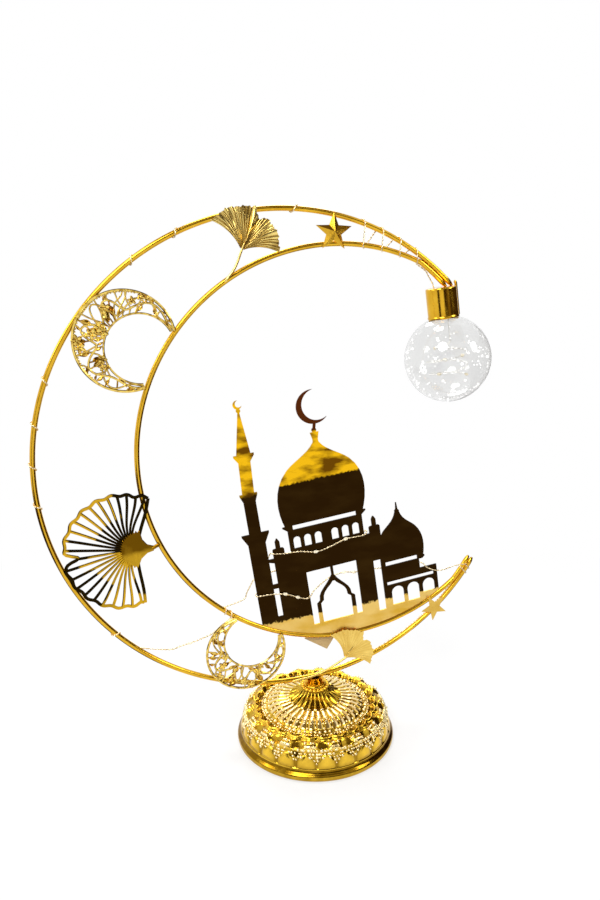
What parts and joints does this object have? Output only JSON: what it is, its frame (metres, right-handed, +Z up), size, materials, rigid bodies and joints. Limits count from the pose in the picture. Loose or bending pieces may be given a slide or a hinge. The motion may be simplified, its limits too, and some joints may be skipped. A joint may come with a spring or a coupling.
{
  "type": "crescent table lantern",
  "caption": "Gold wire crescent table lantern with a cut-out mosque, openwork leaves and stars, and a clear globe light on an ornamental round battery base; it swivels on its post.",
  "frame": {"origin": "on the table, in the middle of the four rubber feet and on the post's axis", "axes": "+Z up along the post; the crescent's plane is the XZ plane, its opening towards +X; -Y is the front that the ornaments face"},
  "size_m": [0.3121, 0.115, 0.3766],
  "materials": {
    "base_gold": "gold-plated cast iron, bright relief",
    "rod_gold": "gold-plated iron rod, polished",
    "mirror_gold": "gold-plated iron sheet, mirror polish",
    "ornament_gold": "gold-plated iron sheet, satin to polished",
    "tab_tan": "tan self-adhesive strip, matt",
    "pad_white": "foam glue pad",
    "globe_clear": "clear moulded plastic with flow marks",
    "wire_copper": "lacquered copper wire, pinkish silver",
    "led_drop": "clear resin drop over an LED",
    "white_plastic": "moulded, matt",
    "black_plastic": "moulded, matt",
    "rubber_black": "matt",
    "steel": "zinc plated",
    "cell": "plain printed sleeve",
    "lead_red": "insulated lead"
  },
  "bodies": {
    "base": {"base_shell": "base_gold", "shell_lugs": "black_plastic", "battery_housing": "white_plastic", "housing_screws": "steel", "rubber_feet": "rubber_black", "batteries": "cell", "battery_springs": "steel", "contact_plates": "steel", "switch_body": "black_plastic", "lead_wires": "lead_red", "neck_collar": "rod_gold", "post_washer": "steel"},
    "crescent": {"post": "rod_gold", "post_nut": "steel", "outer_ring": "rod_gold", "inner_ring": "rod_gold", "mosque_plate": "mirror_gold", "mosque_tab": "tab_tan", "tab_pad": "pad_white", "filigree_large": "ornament_gold", "filigree_small": "ornament_gold", "leaf_top": "ornament_gold", "leaf_bottom": "ornament_gold", "leaf_open": "ornament_gold", "star_upper": "ornament_gold", "star_lower": "ornament_gold", "bulb_cap": "rod_gold", "cap_hook": "rod_gold", "bulb_globe": "globe_clear", "bulb_plug": "white_plastic", "bulb_string": "wire_copper", "bulb_leds": "led_drop", "light_string": "wire_copper", "string_leds": "led_drop"},
    "door": {"battery_door": "white_plastic"},
    "slider": {"switch_slider": "black_plastic"}
  },
  "joints": [
    {"name": "crescent_swivel", "type": "hinge", "parent": "base", "child": "crescent", "pos_m": [0, 0, 0.0425], "axis": [0, 0, 1], "range_deg": [-90, 90]},
    {"name": "door_lift", "type": "slide", "parent": "base", "child": "door", "axis": [0, 0, -1], "range_m": [0, 0.03]},
    {"name": "switch_slide", "type": "slide", "parent": "base", "child": "slider", "axis": [1, 0, 0], "range_m": [0, 0.004]}
  ]
}
